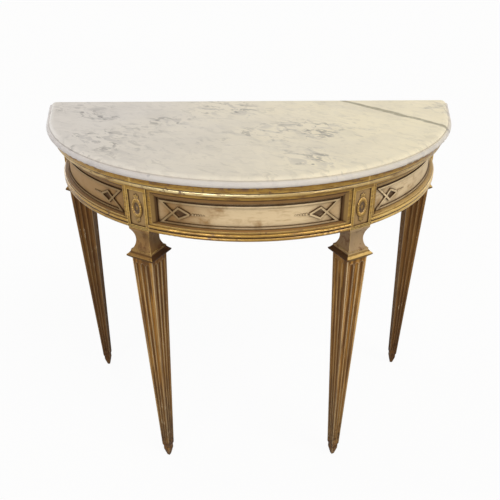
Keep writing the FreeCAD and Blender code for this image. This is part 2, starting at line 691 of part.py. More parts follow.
def fret(name):
    """Raised fret of a bay: two bars that fold back at each end, cross, and close in a lozenge."""
    bay = BAYS[name]
    body = new_body(f"fret_{name}")
    folds = fret_fold(bay, "near"), fret_fold(bay, "far")
    bar_middle = f"({folds[0]} + {folds[1]}) / 2"
    bar_sweep = f"{folds[1]} - {folds[0]}"
    for label, sign in (("upper", "+"), ("lower", "-")):
        level = f"({PANEL_MIDDLE} {sign} {FRET_HALF})"
        bar = [
            (SEAT, f"{level} - fret_width / 2"),
            (FRET_FACE, f"{level} - fret_width / 2"),
            (FRET_FACE, f"{level} + fret_width / 2"),
            (SEAT, f"{level} + fret_width / 2"),
        ]
        swing(body, "Revolution", label + "_bar", bar, bar_middle, bar_sweep)
    arm = value("arm_run")
    run = value("arm_run + tip_run")
    middle = value(PANEL_MIDDLE)
    half = value(FRET_HALF)
    lozenge = value("lozenge_share") * half
    start = f"({FIELD} - fret_width)"
    for end, fold, way in (("near", folds[0], 1), ("far", folds[1], -1)):
        plane_angle = f"({fold} + {way} * (arm_run + tip_run) / 2 / {FRET_FACE} * 1 rad)"
        for label, sign in (("rising", -1), ("falling", 1)):
            bends = [(half / 2, half), (0, half), (arm, -lozenge), (run, 0)]
            path = [FreeCAD.Vector(way * (u - run / 2), middle + sign * v, 0) for u, v in bends]
            outline = stroke(path, value("fret_width"))
            sketch = new_sketch(body, f"{end}_{label}_outline", "XZ_Plane", [outline])
            turn_sketch(sketch, plane_angle)
            sketch.setExpression("AttachmentOffset.Base.x", bound(f"{start} * sin({plane_angle})"))
            sketch.setExpression("AttachmentOffset.Base.z", bound(f"{start} * cos({plane_angle})"))
            grow(body, "Pad", f"{end}_{label}", sketch, "4 * fret_width", symmetric=False)
    ring_cut(body, "front_face", FRET_FACE, f"{FRET_FACE} + block_side", APRON_LOW, CORNICE_LOW)
    ring_cut(body, "back_face", f"{SEAT} - block_side", SEAT, APRON_LOW, CORNICE_LOW)
    return body


def bead_drops(name):
    """Beads that run on from the two lozenge tips of a bay, as one group."""
    bay = BAYS[name]
    beads = []
    for end, way in (("near", 1), ("far", -1)):
        for index in range(int(value("drop_count"))):
            run = f"(arm_run + tip_run + drop_radius + fret_width + {index} * drop_pitch)"
            turn = value(f"{fret_fold(bay, end)} + {way} * {run} / {FRET_FACE} * 1 rad")
            angle = math.radians(turn)
            outward = FreeCAD.Vector(math.sin(angle), -math.cos(angle), 0)
            bead = doc.addObject("Part::Sphere", f"bead_{name}_{end}_{index}")
            bead.setExpression("Radius", bound(f"drop_radius - {index} * drop_fall"))
            bead.Angle1 = 0
            spot = outward * value(SEAT) + FreeCAD.Vector(0, 0, value(PANEL_MIDDLE))
            bead.Placement = FreeCAD.Placement(spot, upright_to(outward))
            beads.append(bead)
    return group(f"beads_{name}", beads)


def group(label, members):
    compound = doc.addObject("Part::Compound", label)
    compound.Label = label
    compound.Links = members
    compound.setExpression("Placement.Base.y", bound(ARC_CENTRE_Y))
    return compound


def ellipsoid(body, kind, name, spot, halves, tilt=0):
    """Add or cut an ellipsoid: centre, half sizes across, outward and upward, tilt in its face."""
    shape = body.newObject(f"PartDesign::{kind}Ellipsoid", name)
    for part, size in zip(("Radius2", "Radius3", "Radius1"), halves):
        shape.setExpression(part, bound(size))
    turn = FreeCAD.Rotation(FreeCAD.Vector(0, 1, 0), tilt)
    shape.Placement = FreeCAD.Placement(FreeCAD.Vector(*[value(way) for way in spot]), turn)


def patera_pattern():
    """Oval patera with a rim, a boss and leaves above and below, flat on its back."""
    body = new_body("patera_pattern", settled=False)
    middle = SUNK_MIDDLE
    oval = ("patera_half", "patera_depth", PATERA_RISE)
    ellipsoid(body, "Additive", "oval", ("0", "0", middle), oval)
    hollow = ("patera_half - patera_rim", "patera_depth", f"{PATERA_RISE} - patera_rim")
    ellipsoid(body, "Subtractive", "hollow", ("0", "-patera_depth", middle), hollow)
    boss = ("boss_half", "patera_depth", f"boss_half * {PATERA_RISE} / patera_half")
    ellipsoid(body, "Additive", "boss", ("0", "0", middle), boss)
    leaf = ("leaf_half", "leaf_depth", "leaf_length")
    for label, sign in (("upper", 1), ("lower", -1)):
        for index in (-1, 0, 1):
            height = f"{middle} + {sign} * ({PATERA_RISE} + leaf_half - {abs(index)} * leaf_drop)"
            spot = (f"{index} * leaf_spread", "0", height)
            tilt = sign * index * value("leaf_fan")
            ellipsoid(body, "Additive", f"{label}_leaf_{index + 1}", spot, leaf, tilt)
    back = rectangle("sunk_width", "0", "sunk_width")
    plan_feature(body, "Pocket", "flat_back", back, middle, f"2 * {SUNK_HEIGHT}")
    return body


def leg_profile():
    """Return the outline of a leg seen square to a face, from the top of the neck down and round."""
    neck_low = f"({APRON_LOW} - neck_height)"
    waist = f"({APRON_LOW} - neck_waist)"
    step_low = f"({neck_low} - step_height)"
    sweep_low = f"({step_low} - collar_sweep)"
    arris_low = f"({sweep_low} - collar_arris)"
    over = "((neck_top - neck_side) / 2)"
    under = "((neck_flare - neck_side) / 2)"
    fall = "(neck_waist - neck_band)"
    drop = "(neck_height - neck_waist)"
    crown_arc = f"(({over}^2 + {fall}^2) / 2 / {over})"
    flare_arc = f"(({under}^2 + {drop}^2) / 2 / {under})"
    right = [
        ("neck_top / 2", APRON_LOW),
        ("neck_top / 2", f"{APRON_LOW} - neck_band", crown_arc, 1),
        ("neck_side / 2", waist, flare_arc, 1),
        ("neck_flare / 2", neck_low),
        ("step_side / 2", neck_low),
        ("step_side / 2", step_low, "collar_hollow", 1),
        ("collar_side / 2", sweep_low),
        ("collar_side / 2", arris_low),
        ("shaft_side / 2", SHAFT_TOP),
        ("ankle_side / 2", "foot_height"),
        ("foot_side / 2", "foot_height - foot_cut"),
        ("foot_side / 2", "toe_height"),
        ("toe_side / 2", "0"),
    ]
    left = []
    for index in range(len(right) - 1, -1, -1):
        before = right[index - 1] if index > 0 else ()
        left.append((f"-{right[index][0]}", right[index][1], *before[2:]))
    return right + left


def leg_pattern():
    """Square leg about its own axis: neck, collar, fluted shaft, pointed foot, and the pin on top."""
    body = new_body("leg_pattern", settled=False)
    front = new_sketch(body, "front_outline", "XZ_Plane", [leg_profile()])
    grow(body, "Pad", "blank", front, "2 * collar_side")
    frame = rectangle("(2 * collar_side)", "(-collar_side)", FRAME_TOP)
    profile = new_sketch(body, "side_outline", "YZ_Plane", [frame, leg_profile()])
    grow(body, "Pocket", "side_cut", profile, "4 * collar_side")
    for face in range(4):
        cut_flutes(body, face)
    pin = body.newObject("PartDesign::AdditiveCylinder", "pin")
    pin.setExpression("Radius", bound("pin_radius"))
    pin.setExpression("Height", bound("pin_length + neck_waist"))
    pin.Placement.Base.z = value(f"{APRON_LOW} - neck_waist")
    return body


def cut_flutes(body, face):
    """Cut the three flutes of one face: tapered round hollows with rounded ends."""
    turn = FreeCAD.Rotation(FreeCAD.Vector(0, 0, 1), 90 * face)
    low, high = [f"(flute_radius * {side})" for side in FLUTE_SIDES]
    for index in (-1, 0, 1):
        ends = []
        for side, level in zip(FLUTE_SIDES, FLUTE_LEVELS):
            across = f"{index} * flute_pitch * {side}"
            outward = f"-(1 / 2 + flute_out) * {side}"
            spot = FreeCAD.Vector(value(across), value(outward), value(level))
            ends.append(turn.multVec(spot))
        run = ends[1] - ends[0]
        length = str(run.Length)
        section = [("0", f"-{low}", low, 1), (low, "0"), (high, length, high, 1), ("0", f"{length} + {high}")]
        name = f"flute_{face}_{index + 1}"
        sketch = new_sketch(body, name + "_section", "XY_Plane", [section])
        along = FreeCAD.Rotation(FreeCAD.Vector(0, 1, 0), run)
        sketch.AttachmentOffset = FreeCAD.Placement(ends[0], along)
        revolve(body, "Groove", name, sketch)


def place_copy(label, pattern, radius, tangential, angle, side):
    """Put a copy of a body drawn about its own axis beside a radius, turned to face outward."""
    body = doc.addObject("PartDesign::Body", label)
    body.Label = label
    copy = body.newObject("PartDesign::FeatureBase", label + "_copy")
    copy.BaseFeature = pattern
    body.Tip = copy
    x, y = turned(radius, tangential, angle, side)
    upward = FreeCAD.Vector(0, 0, 1)
    body.Placement = FreeCAD.Placement(FreeCAD.Vector(), FreeCAD.Rotation(upward, 1))
    body.setExpression("Placement.Base.x", bound(x))
    body.setExpression("Placement.Base.y", bound(f"{y} + {ARC_CENTRE_Y}"))
    body.setExpression("Placement.Rotation.Angle", bound(f"{side} * {angle}"))
    return body


def glue_blocks():
    """Rubbed blocks in the inside corners between rails and corner blocks, as one group."""
    members = []
    inside = f"({LEG_RADIUS} - {HALF})"
    back_inside = f"({BACK_LEG} - {HALF})"
    gap = "2 * fit_gap"
    for side, sign in SIDES.items():
        corners = []
        for way in (1, -1):
            near = f"{way} * {HALF}"
            far = f"{way} * ({HALF} + glue_run)"
            spots = [
                (inside, near),
                (f"{on_arc(RAIL_INSIDE, near)} - {gap}", near),
                (f"{on_arc(RAIL_INSIDE, far)} - {gap}", far),
            ]
            corners.append([turned(*spot, "leg_angle", sign) for spot in spots])
        across = f"{back_inside} - glue_run"
        corners.append([
            (f"{sign} * {back_inside}", BACK_RAIL_FRONT),
            (f"{sign} * ({across})", BACK_RAIL_FRONT),
            (f"{sign} * {back_inside}", f"{BACK_RAIL_FRONT} - glue_depth"),
        ])
        for index, outline in enumerate(corners):
            block = new_body(f"glue_{side}_{index}", settled=False)
            plan_feature(block, "Pad", "block", outline, TENON_MIDDLE, f"{TENON_HEIGHT} + 2 * glue_over")
            members.append(block)
    return group("glue_blocks", members)


def tenon_pegs():
    """All pegs through the rail tenons, as one group."""
    members = []
    spots = back_rail_pegs()
    for bay in BAYS.values():
        spots += rail_pegs(bay)
    for index, (start, direction) in enumerate(spots):
        peg = doc.addObject("Part::Cylinder", f"peg_{index}")
        peg.setExpression("Radius", bound("peg_radius"))
        peg.setExpression("Height", bound("peg_length"))
        peg.Placement = FreeCAD.Placement(start, upright_to(direction))
        members.append(peg)
    return group("tenon_pegs", members)


def build():
    """Build every sub-part and return them in order."""
    parts = [marble_top(), back_rail(), bearer(), glue_blocks(), tenon_pegs()]
    for name in BAYS:
        parts += [curved_rail(name), cornice(name), base_moulding(name), panel_frame(name)]
        parts += [fret(name), bead_drops(name)]
    leg = leg_pattern()
    patera = patera_pattern()
    places = {
        "front": (LEG_RADIUS, "0", "leg_angle"),
        "back": (BACK_LEG, "(-back_leg_forward)", "90"),
    }
    for side, sign in SIDES.items():
        parts += [front_block(side), back_block(side)]
        for end, (radius, tangential, angle) in places.items():
            sunk = f"{radius} + {HALF} - sunk_depth"
            parts.append(place_copy(f"leg_{end}_{side}", leg, radius, tangential, angle, sign))
            parts.append(place_copy(f"patera_{end}_{side}", patera, sunk, tangential, angle, sign))
    doc.recompute()
    return parts


def write(parts):
    """Check the document and write one file for each sub-part."""
    for item in doc.Objects:
        if "Invalid" in item.State or "Error" in item.State:
            raise RuntimeError(f"{item.Label} did not build: {item.State}")
    os.makedirs("parts", exist_ok=True)
    for part in parts:
        shape = part.Shape
        if shape.isNull() or not shape.isValid() or not shape.Solids:
            raise RuntimeError(f"{part.Label} has no sound solid")
        shape.exportStep(f"parts/{part.Label}.step")


write(build())
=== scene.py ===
import math

import bpy
import numpy as np
from mathutils import Matrix, Vector


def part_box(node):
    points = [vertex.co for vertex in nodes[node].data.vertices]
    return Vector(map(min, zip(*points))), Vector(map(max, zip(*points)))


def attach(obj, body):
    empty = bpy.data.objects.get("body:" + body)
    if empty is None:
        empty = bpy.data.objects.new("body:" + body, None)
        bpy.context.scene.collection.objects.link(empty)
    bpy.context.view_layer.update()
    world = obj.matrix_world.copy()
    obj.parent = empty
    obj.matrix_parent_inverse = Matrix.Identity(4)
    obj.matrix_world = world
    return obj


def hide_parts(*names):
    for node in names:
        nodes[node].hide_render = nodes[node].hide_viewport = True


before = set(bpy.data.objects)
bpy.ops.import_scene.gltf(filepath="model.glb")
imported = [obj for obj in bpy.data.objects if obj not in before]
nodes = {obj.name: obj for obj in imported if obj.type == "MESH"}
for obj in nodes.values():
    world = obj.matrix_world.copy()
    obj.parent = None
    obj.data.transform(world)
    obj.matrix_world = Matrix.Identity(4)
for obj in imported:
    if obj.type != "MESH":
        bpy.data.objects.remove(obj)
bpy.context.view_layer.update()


def middle_of(node):
    low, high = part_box(node)
    return (low + high) / 2


# Plan of the apron, about the centre of its arc.
BAYS = ("front", "left", "right")
CORNERS = ("front_left", "front_right", "back_left", "back_right")
FIELD_RADIUS = 0.468
FRAME_DEPTH = 0.012
ARC_CENTRE = Vector((0.0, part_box("rail_front")[0].y + FIELD_RADIUS, 0.0))
FRONT_BLOCK = middle_of("block_front_right") - ARC_CENTRE
BACK_BLOCK = middle_of("block_back_right") - ARC_CENTRE
BLOCK_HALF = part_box("block_back_right")[1].x - BACK_BLOCK.x
LEG_ANGLE = math.atan2(FRONT_BLOCK.x, -FRONT_BLOCK.y)
BACK_ANGLE = math.pi / 2
FRONT_BLOCK_FACE = math.hypot(FRONT_BLOCK.x, FRONT_BLOCK.y) + BLOCK_HALF
BACK_BLOCK_FACE = BACK_BLOCK.x + BLOCK_HALF
SUNK_DEPTH = 0.003
BLOCK_SHOWN = 0.035

# Heights on the stand, from the slab down to the shaft of a leg.
SLAB_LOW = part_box("marble_top")[0].z
BEAD_MIDDLE = SLAB_LOW - 0.0190
CORNICE_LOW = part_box("cornice_front")[0].z
COVE_FOOT = CORNICE_LOW - 0.0110
PANEL_MIDDLE = middle_of("fret_front").z
PATERA_MIDDLE = middle_of("patera_front_left").z
BASE_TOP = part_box("base_moulding_front")[1].z
BLOCK_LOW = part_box("block_front_left")[0].z
COLLAR_TOP = BLOCK_LOW - 0.0580
UNDERCUT_TOP = COLLAR_TOP - 0.0116
SHAFT_TOP = UNDERCUT_TOP - 0.0077
COLLAR_LINES = (UNDERCUT_TOP + 0.0014, COLLAR_TOP - 0.0028)

# Lozenges of the fret: the fold of the bar from a block's middle, and the lozenge from the fold.
FRET_FOLD = 0.053
BACK_FRET_FOLD = 0.073
LOZENGE_FROM_FOLD = 0.0426
LOZENGE_RUN = 0.0165
LOZENGE_RISE = 0.0100
LOZENGE_STEP = (FRET_FOLD + LOZENGE_FROM_FOLD) / FIELD_RADIUS
BACK_LOZENGE_STEP = (BACK_FRET_FOLD + LOZENGE_FROM_FOLD) / FIELD_RADIUS
LOZENGE_TURNS = (LEG_ANGLE - LOZENGE_STEP, LEG_ANGLE + LOZENGE_STEP, BACK_ANGLE - BACK_LOZENGE_STEP)

# Colours.
WHITE = (1.0, 1.0, 1.0)
MARBLE_COOL = (0.665, 0.622, 0.573)
MARBLE_WARM_LIT = (0.845, 0.760, 0.560)
MARBLE_GREY = (0.340, 0.320, 0.310)
MARBLE_DARK = (0.160, 0.145, 0.135)
MARBLE_VEIN = (0.360, 0.320, 0.220)
MARBLE_GRIME_AND_SHADE = (0.300, 0.260, 0.250)
MARBLE_NOSE_LIGHT = (0.540, 0.510, 0.515)
GOLD = (0.460, 0.265, 0.046)
GOLD_BRIGHT = (0.820, 0.570, 0.180)
GOLD_HIGHLIGHT = (0.920, 0.780, 0.430)
BRONZE = (0.220, 0.110, 0.022)
BOLE_AND_SHADE = (0.110, 0.040, 0.013)
GESSO = (0.680, 0.560, 0.370)
GLAZE_AND_SHADE = (0.046, 0.018, 0.005)
CREAM = (0.700, 0.550, 0.340)
TAN = (0.310, 0.170, 0.058)
SAND = (0.360, 0.230, 0.095)
ASH = (0.400, 0.300, 0.185)
TAUPE = (0.240, 0.135, 0.052)
BUFF = (0.255, 0.165, 0.070)
STRAW = (0.480, 0.320, 0.120)
OLIVE = (0.310, 0.195, 0.066)
OLIVE_DARK = (0.210, 0.122, 0.038)
UMBER = (0.135, 0.068, 0.022)
DULL_GOLD = (0.260, 0.150, 0.050)
WOOD_LIGHT = (0.480, 0.255, 0.058)
WOOD_MID = (0.350, 0.160, 0.026)
WOOD_DARK = (0.095, 0.038, 0.008)
RIDGE = (0.640, 0.465, 0.235)
BARE_LIGHT = (0.300, 0.190, 0.095)
BARE_DARK = (0.160, 0.090, 0.040)

# Axes along which the grain runs, Z on the legs and X on the rails.
UPRIGHT = 2
SIDEWAYS = 0

# Settings that all materials share.
NOISE_MIDDLE = 0.5
HOLLOW_SAMPLES = 8
EDGE_SAMPLES = 4
ARC_STRETCH = 14.0
INWARD_LIMITS = (-0.07, -0.02)


class Shader:
    """One node material, whose colour is laid on coat by coat."""

    def __init__(self, name, colour):
        self.material = bpy.data.materials.new(name)
        self.material.use_nodes = True
        self.tree = self.material.node_tree
        self.surface = self.tree.nodes["Principled BSDF"]
        self.place = self.add("ShaderNodeTexCoord").outputs["Object"]
        self.colour = colour

    def feed(self, socket, value):
        if isinstance(value, bpy.types.NodeSocket):
            self.tree.links.new(value, socket)
        elif isinstance(value, tuple) and socket.type == "RGBA":
            socket.default_value = (*value, 1.0)
        else:
            socket.default_value = value

    def put(self, **inputs):
        """Set inputs of the surface by name, with spaces written as underscores."""
        for name, value in inputs.items():
            words = [word if word.isupper() else word.capitalize() for word in name.split("_")]
            self.feed(self.surface.inputs[" ".join(words)], value)

    def add(self, kind, inputs=(), **settings):
        node = self.tree.nodes.new(kind)
        for name, value in settings.items():
            setattr(node, name, value)
        for key, value in dict(inputs).items():
            self.feed(node.inputs[key], value)
        return node

    def math(self, operation, first, second=0.0):
        return self.add("ShaderNodeMath", {0: first, 1: second}, operation=operation).outputs[0]

    def times(self, first, second):
        return self.math("MULTIPLY", first, second)

    def most(self, first, second):
        return self.math("MAXIMUM", first, second)

    def size(self, value):
        return self.math("ABSOLUTE", value)

    def gap(self, first, second):
        return self.size(self.math("SUBTRACT", first, second))

    def rest(self, share):
        """What a share leaves over."""
        return self.math("SUBTRACT", 1.0, share)

    def sway(self, noise, width):
        """Noise as a shift to both sides, over a width in all."""
        return self.times(self.math("SUBTRACT", noise, NOISE_MIDDLE), width)

    def mix(self, share, first, second):
        inputs = {0: share, 6: first, 7: second}
        return self.add("ShaderNodeMix", inputs, data_type="RGBA").outputs[2]

    def lay(self, colour, share, strength=1.0):
        """Cover the colour so far with another one, as far as the share and the strength say."""
        self.colour = self.mix(self.times(share, strength), self.colour, colour)

    def ramp(self, value, low, high, floor=0.0, top=1.0):
        """Ease from floor to top while a value goes from low to high."""
        inputs = {0: value, 1: low, 2: high, 3: floor, 4: top}
        return self.add("ShaderNodeMapRange", inputs, interpolation_type="SMOOTHSTEP").outputs[0]

    def fade(self, value, low, high):
        """Ease from 1 to 0 while a value goes from low to high."""
        return self.ramp(value, low, high, floor=1.0, top=0.0)

    def band(self, value, middle, inner, outer):
        """Share that a value is near a middle: 1 within the inner distance, 0 past the outer one."""
        return self.fade(self.gap(value, middle), inner, outer)

    def stretched(self, scale=(1.0, 1.0, 1.0), turn=0.0, shift=(0.0, 0.0, 0.0)):
        """Place scaled by its own factor along each axis, after a turn in plan."""
        turned = self.add("ShaderNodeMapping", {"Vector": self.place, "Rotation": (0.0, 0.0, turn)})
        inputs = {"Vector": turned.outputs[0], "Scale": scale, "Location": shift}
        return self.add("ShaderNodeMapping", inputs).outputs[0]

    def along_grain(self, axis, factor, shift=(0.0, 0.0, 0.0)):
        """Place with marks drawn out along one axis, the less the factor the longer."""
        scale = [1.0, 1.0, 1.0]
        scale[axis] = factor
        return self.stretched(tuple(scale), shift=shift)

    def along_arc(self):
        """Place measured along the apron's arc, with marks drawn out along it."""
        turn, radius = self.polar()
        run = self.add("ShaderNodeCombineXYZ", {0: turn, 1: radius, 2: self.axis("Z")}).outputs[0]
        inputs = {"Vector": run, "Scale": (1.0, ARC_STRETCH, ARC_STRETCH)}
        return self.add("ShaderNodeMapping", inputs).outputs[0]

    def noise(self, scale, detail=4.0, rough=0.55, place=None, bend=0.0):
        inputs = {
            "Vector": place or self.place, "Scale": scale, "Detail": detail,
            "Roughness": rough, "Distortion": bend,
        }
        return self.add("ShaderNodeTexNoise", inputs).outputs[0]

    def axis(self, letter):
        return self.add("ShaderNodeSeparateXYZ", {0: self.place}).outputs[letter]

    def openness(self, reach, inside=False):
        """Share of rays that meet no surface within reach, sent outward or into the solid."""
        inputs = {"Distance": reach}
        node = self.add("ShaderNodeAmbientOcclusion", inputs, samples=HOLLOW_SAMPLES, inside=inside)
        return node.outputs["AO"]

    def hollow(self, reach, low, high):
        """Share of grime and painted shade at a point: 1 deep in a corner, 0 in the open."""
        return self.fade(self.openness(reach), low, high)

    def ridge(self, reach, low, high):
        """Share of rubbing and of painted highlight: 1 on a narrow ridge or a round, 0 on flat ground
        and in hollows.
        """
        return self.fade(self.openness(reach, inside=True), low, high)

    def flat_normal(self):
        return self.add("ShaderNodeNewGeometry").outputs["Normal"]

    def facing(self):
        """How far a face looks to the right, from -1 to 1."""
        return self.add("ShaderNodeSeparateXYZ", {0: self.flat_normal()}).outputs["X"]

    def inward(self):
        """Share that a point on the left or right faces the middle of the table."""
        return self.fade(self.times(self.axis("X"), self.facing()), *INWARD_LIMITS)

    def rounded(self, radius):
        return self.add("ShaderNodeBevel", {"Radius": radius}, samples=EDGE_SAMPLES).outputs[0]

    def arris(self, radius, low=0.02, high=0.12):
        """Share of wear: 1 on a sharp edge, 0 on flat ground."""
        inputs = {0: self.rounded(radius), 1: self.flat_normal()}
        dot = self.add("ShaderNodeVectorMath", inputs, operation="DOT_PRODUCT").outputs["Value"]
        return self.ramp(self.rest(dot), low, high)

    def bump(self, height, distance, strength, edge):
        """Set the normal from a height and from edges rounded to a radius."""
        inputs = {
            "Height": height, "Distance": distance, "Strength": strength,
            "Normal": self.rounded(edge),
        }
        self.put(normal=self.add("ShaderNodeBump", inputs).outputs[0])

    def polar(self):
        """Angle round the apron from its front middle, and distance from its centre."""
        x = self.axis("X")
        y = self.math("SUBTRACT", ARC_CENTRE.y, self.axis("Y"))
        squares = self.math("ADD", self.times(x, x), self.times(y, y))
        return self.math("ARCTAN2", x, y), self.math("SQRT", squares)

    def done(self):
        self.put(base_color=self.colour)
        return self.material


# Grey clouds in the marble: place on the slab, reach and strength.
CLOUDS = (
    ((-0.40, 0.17), 0.085, 1.00),
    ((-0.36, -0.04), 0.085, 0.80),
    ((-0.19, 0.08), 0.070, 0.70),
    ((-0.03, 0.20), 0.120, 0.80),
    ((0.04, 0.02), 0.110, 0.60),
    ((0.17, 0.03), 0.070, 0.75),
    ((0.13, -0.14), 0.080, 0.70),
    ((-0.08, -0.08), 0.070, 0.40),
    ((0.46, 0.16), 0.045, 0.50),
)
CLOUD_CORE = 0.2
CLOUD_SWAY = 0.30
FLAT = (1.0, 1.0, 0.0)

# Vein, drift of the wisps, and bullnose of the slab.
VEIN_START = Vector((0.2544, 0.2607))
VEIN_END = Vector((0.462, 0.043))
VEIN_HALF = 0.0115
VEIN_CORE = 0.45
VEIN_SWAY = 0.012
DRIFT_SCALE = (1.0, 1.9, 1.0)
DRIFT_TURN = math.radians(38)
NOSE_TOP = SLAB_LOW + 0.012
LIP_LOW = SLAB_LOW + 0.014
# Drift toward ivory on the right of the slab: partly its tone, partly painted warm light.
LIT_IVORY_SWAY = 0.3
LIT_IVORY_FROM = -0.30
LIT_IVORY_TO = 0.55


def marble_clouds(shade):
    """Share of grey at each place of the slab: faint everywhere, strong in the clouds."""
    faint = shade.noise(scale=5.0, detail=3.0, rough=0.5)
    total = shade.ramp(faint, 0.45, 0.70, floor=0.12, top=0.40)
    shift = shade.sway(shade.noise(scale=11.0, rough=0.6), CLOUD_SWAY)
    for (x, y), reach, strength in CLOUDS:
        inputs = {0: shade.stretched(FLAT), 1: (x, y, 0.0)}
        away = shade.add("ShaderNodeVectorMath", inputs, operation="DISTANCE").outputs["Value"]
        away = shade.math("ADD", away, shift)
        cloud = shade.ramp(away, reach * CLOUD_CORE, reach, floor=strength, top=0.0)
        total = shade.most(total, cloud)
    return total


def vein_line(shade):
    """Vein that crosses the back right corner of the slab."""
    way = (VEIN_END - VEIN_START).normalized()
    side = Vector((-way.y, way.x))
    along_x = shade.times(shade.axis("X"), side.x)
    along_y = shade.times(shade.axis("Y"), side.y)
    shift = shade.sway(shade.noise(scale=14.0, detail=3.0), VEIN_SWAY)
    across = shade.math("ADD", shade.math("ADD", along_x, along_y), shift)
    thick = shade.ramp(shade.noise(scale=22.0), 0.3, 0.7, floor=0.6, top=1.15)
    away = shade.math("DIVIDE", shade.gap(across, VEIN_START.dot(side)), thick)
    line = shade.fade(away, VEIN_HALF * VEIN_CORE, VEIN_HALF)
    return shade.times(line, shade.ramp(shade.noise(scale=90.0), 0.2, 0.6, floor=0.6))


def marble_material():
    """Honed marble, grey toward the left and ivory toward the right, the drift partly its own tone and
    partly painted warm light from the right.
    """
    shade = Shader("marble", MARBLE_COOL)
    shade.put(specular_IOR_level=0.20)
    # Ivory toward the right: the marble's tone with painted warm light from the right.
    shift = shade.times(shade.noise(scale=5.0), LIT_IVORY_SWAY)
    to_right = shade.math("ADD", shade.axis("X"), shift)
    shade.lay(MARBLE_WARM_LIT, shade.ramp(to_right, LIT_IVORY_FROM, LIT_IVORY_TO))
    haze = shade.noise(scale=7.0, detail=6.0, rough=0.6)
    shade.lay(MARBLE_GREY, shade.ramp(haze, 0.40, 0.75), strength=0.18)
    drift = shade.stretched(DRIFT_SCALE, DRIFT_TURN)
    clouds = marble_clouds(shade)
    wisps = shade.noise(scale=19.0, detail=5.0, rough=0.60, place=drift, bend=1.0)
    shade.lay(MARBLE_GREY, shade.times(shade.ramp(wisps, 0.49, 0.57), clouds), strength=0.52)
    crumbs = shade.noise(scale=31.0, detail=5.0, rough=0.62, place=drift, bend=0.8)
    shade.lay(MARBLE_DARK, shade.times(shade.ramp(crumbs, 0.55, 0.585), clouds), strength=0.70)
    cells = shade.add("ShaderNodeTexVoronoi", {"Vector": shade.place, "Scale": 11.0})
    shade.lay(MARBLE_DARK, shade.fade(cells.outputs["Distance"], 0.022, 0.052), strength=0.65)
    shade.lay(MARBLE_VEIN, vein_line(shade))
    # Painted cool light on the nose of the slab's edge, a lilac-grey band below the lip.
    shade.lay(MARBLE_NOSE_LIGHT, shade.fade(shade.axis("Z"), NOSE_TOP, LIP_LOW), strength=0.6)
    # Grime and painted shade in the quirk and corners of the edge.
    shade.lay(MARBLE_GRIME_AND_SHADE, shade.hollow(reach=0.012, low=0.40, high=0.98), strength=0.45)
    rubbed = shade.noise(scale=30.0, detail=2.0, rough=0.5)
    shade.put(roughness=shade.ramp(rubbed, 0.3, 0.8, floor=0.44, top=0.56))
    shade.bump(rubbed, distance=0.0002, strength=0.3, edge=0.0012)
    return shade.done()


# Where the gilding changes: heights, depths of carving and half widths in metres, angles in radians.
BASE_BLEND = 0.010
# Angles over which painted light brightens the base moulding of the right bay.
GILT_LIT_RIGHT_BAY = (0.50, 0.66)
BEAD_LIMITS = (0.0030, 0.0055)
# Where the painted highlight on the bead is strongest, and how it fades along the arc.
BEAD_HIGHLIGHT_TURN = -0.20
BEAD_HIGHLIGHT_LIMITS = (0.18, 0.34)
BUTT_LIMITS = (0.003, 0.008)
UNDER_SLAB = (SLAB_LOW - 0.014, SLAB_LOW - 0.003)
FLECK_SHIFT = (3.1, 1.7, 0.4)
CARVING_DIRT_AND_SHADE = (0.0005, 0.0024)


